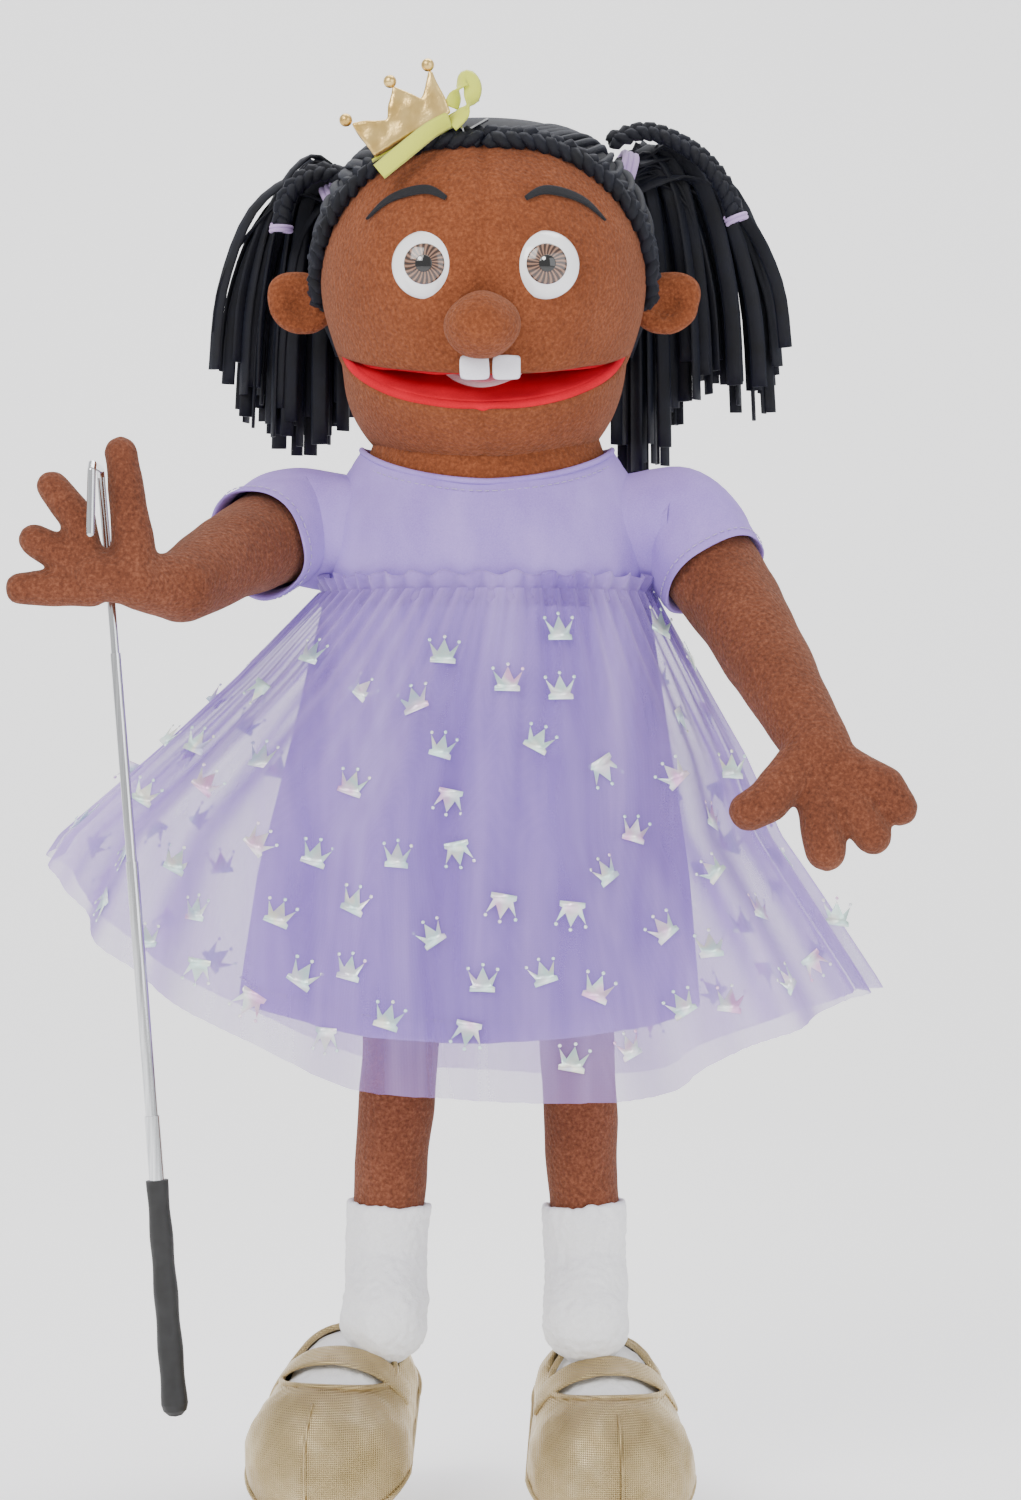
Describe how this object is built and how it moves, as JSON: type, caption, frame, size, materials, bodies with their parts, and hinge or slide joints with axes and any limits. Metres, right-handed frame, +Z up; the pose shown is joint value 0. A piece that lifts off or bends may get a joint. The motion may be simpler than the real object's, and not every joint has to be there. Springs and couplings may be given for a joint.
{
  "type": "plush hand puppet with arm rod",
  "caption": "Soft fleece hand puppet of a girl in a lilac tulle dress, with a moving mouth, ponytails, a crown clip and a telescopic arm rod.",
  "frame": {"origin": "on the floor plane, under the centre of the puppet's body sleeve", "axes": "+Z up, the puppet faces -Y, its left side is at +X"},
  "size_m": [0.4114, 0.2009, 0.6775],
  "materials": {
    "skin_fleece": "fine curled fleece nap",
    "dress_plush": "short velvet pile",
    "tulle": "sheer net with foil crown prints",
    "hair_jersey": "matte cut jersey strips",
    "white_plush": "short plush",
    "gold_lame": "metallic square weave",
    "red_plush": "short plush",
    "tongue_felt": "felt",
    "white_felt": "felt",
    "brow_felt": "felt",
    "eye_plastic": "polished",
    "iris_print": "polished",
    "pupil_print": "polished",
    "washer_plastic": "plain",
    "stuffing": "polyester fibre",
    "mouth_board": "plain",
    "crown_leatherette": "metallic foil",
    "crown_bead": "metallised",
    "clip_ribbon": "grosgrain ribbon over steel",
    "steel": "polished stainless steel",
    "rubber": "matte moulded"
  },
  "bodies": {
    "torso": {"body_sleeve": "skin_fleece", "dress_bodice": "dress_plush", "neckline_binding": "dress_plush", "waist_ruffle": "tulle", "skirt_lining": "dress_plush", "tulle_overskirt": "tulle"},
    "neck": {"neck_sleeve": "skin_fleece"},
    "head": {"head_shell": "skin_fleece", "head_foam": "stuffing", "upper_mouth_board": "mouth_board", "upper_mouth_lining": "red_plush", "front_teeth": "white_felt", "nose": "skin_fleece", "ear_left": "skin_fleece", "ear_right": "skin_fleece", "eyebrow_left": "brow_felt", "eyebrow_right": "brow_felt", "eye_white_left": "eye_plastic", "eye_white_right": "eye_plastic", "eye_irises": "iris_print", "eye_pupils": "pupil_print", "eye_lock_washers": "washer_plastic", "hair_cap": "hair_jersey", "clip_lower_jaw": "clip_ribbon", "clip_pin": "steel", "clip_spring": "steel"},
    "jaw": {"jaw_shell": "skin_fleece", "lower_mouth_board": "mouth_board", "lower_mouth_lining": "red_plush", "tongue": "tongue_felt"},
    "tail_left": {"ponytail_left": "hair_jersey"},
    "tail_right": {"ponytail_right": "hair_jersey"},
    "crown": {"clip_upper_jaw": "clip_ribbon", "crown_pad": "crown_leatherette", "crown_beads": "crown_bead"},
    "arm_right": {"arm_skin_right": "skin_fleece", "arm_stuffing_right": "stuffing", "sleeve_right": "dress_plush"},
    "arm_left": {"arm_skin_left": "skin_fleece", "arm_stuffing_left": "stuffing", "sleeve_left": "dress_plush"},
    "rod_upper": {"rod_hook": "steel", "rod_tube_first": "steel"},
    "rod_second": {"rod_tube_second": "steel"},
    "rod_third": {"rod_tube_third": "steel"},
    "rod_lower": {"rod_tube_fourth": "steel", "rod_grip": "rubber"},
    "leg_left": {"leg_skin_left": "skin_fleece", "leg_stuffing_left": "stuffing", "sock_left": "white_plush", "shoe_upper_left": "gold_lame", "shoe_sole_left": "gold_lame", "shoe_strap_left": "gold_lame"},
    "leg_right": {"leg_skin_right": "skin_fleece", "leg_stuffing_right": "stuffing", "sock_right": "white_plush", "shoe_upper_right": "gold_lame", "shoe_sole_right": "gold_lame", "shoe_strap_right": "gold_lame"}
  },
  "joints": [
    {"name": "neck_turn", "type": "hinge", "parent": "torso", "child": "neck", "pos_m": [0, 0.014, 0.496], "axis": [0, 0, 1], "range_deg": [-25, 25], "stiffness_Nm_per_rad": 5},
    {"name": "head_nod", "type": "hinge", "parent": "neck", "child": "head", "pos_m": [0, 0.014, 0.496], "axis": [1, 0, 0], "range_deg": [-15, 6], "stiffness_Nm_per_rad": 25},
    {"name": "jaw_open", "type": "hinge", "parent": "head", "child": "jaw", "pos_m": [0, 0, 0.55], "axis": [1, 0, 0], "range_deg": [-9, 3], "stiffness_Nm_per_rad": 2},
    {"name": "ponytail_left_swing", "type": "hinge", "parent": "head", "child": "tail_left", "pos_m": [0.08, 0.049, 0.64], "axis": [0, 1, 0], "range_deg": [-18, 1], "stiffness_Nm_per_rad": 2},
    {"name": "ponytail_right_swing", "type": "hinge", "parent": "head", "child": "tail_right", "pos_m": [-0.08, 0.049, 0.63], "axis": [0, 1, 0], "range_deg": [-1, 18], "stiffness_Nm_per_rad": 2},
    {"name": "crown_clip_pinch", "type": "hinge", "parent": "head", "child": "crown", "pos_m": [-0.015, -0.058, 0.65], "axis": [0, 1, 0], "range_deg": [0, 18], "stiffness_Nm_per_rad": 0.05, "springref_deg": -17.19},
    {"name": "shoulder_right", "type": "hinge", "parent": "torso", "child": "arm_right", "pos_m": [-0.093, 0, 0.466], "axis": [0, 1, 0], "range_deg": [-1, 15], "stiffness_Nm_per_rad": 25},
    {"name": "shoulder_left", "type": "hinge", "parent": "torso", "child": "arm_left", "pos_m": [0.093, 0, 0.466], "axis": [0, 1, 0], "range_deg": [-50, 0], "stiffness_Nm_per_rad": 25},
    {"name": "rod_swing", "type": "hinge", "parent": "arm_right", "child": "rod_upper", "pos_m": [-0.175, -0.0995, 0.486], "axis": [0, 1, 0], "range_deg": [-2, 3], "stiffness_Nm_per_rad": 5},
    {"name": "rod_slide_second", "type": "slide", "parent": "rod_upper", "child": "rod_second", "axis": [-0.0786, 0, 0.9969], "range_m": [-0.05, 0.04], "stiffness_N_per_m": 400},
    {"name": "rod_slide_third", "type": "slide", "parent": "rod_second", "child": "rod_third", "axis": [-0.0786, 0, 0.9969], "range_m": [-0.016, 0.092], "stiffness_N_per_m": 400},
    {"name": "rod_slide_grip", "type": "slide", "parent": "rod_third", "child": "rod_lower", "axis": [-0.0786, 0, 0.9969], "range_m": [-0.002, 0.106], "stiffness_N_per_m": 400},
    {"name": "hip_left", "type": "hinge", "parent": "torso", "child": "leg_left", "pos_m": [0.041, -0.015, 0.298], "axis": [1, 0, 0], "range_deg": [-15, 15], "stiffness_Nm_per_rad": 20},
    {"name": "hip_right", "type": "hinge", "parent": "torso", "child": "leg_right", "pos_m": [-0.037, -0.015, 0.298], "axis": [1, 0, 0], "range_deg": [-15, 15], "stiffness_Nm_per_rad": 20}
  ]
}
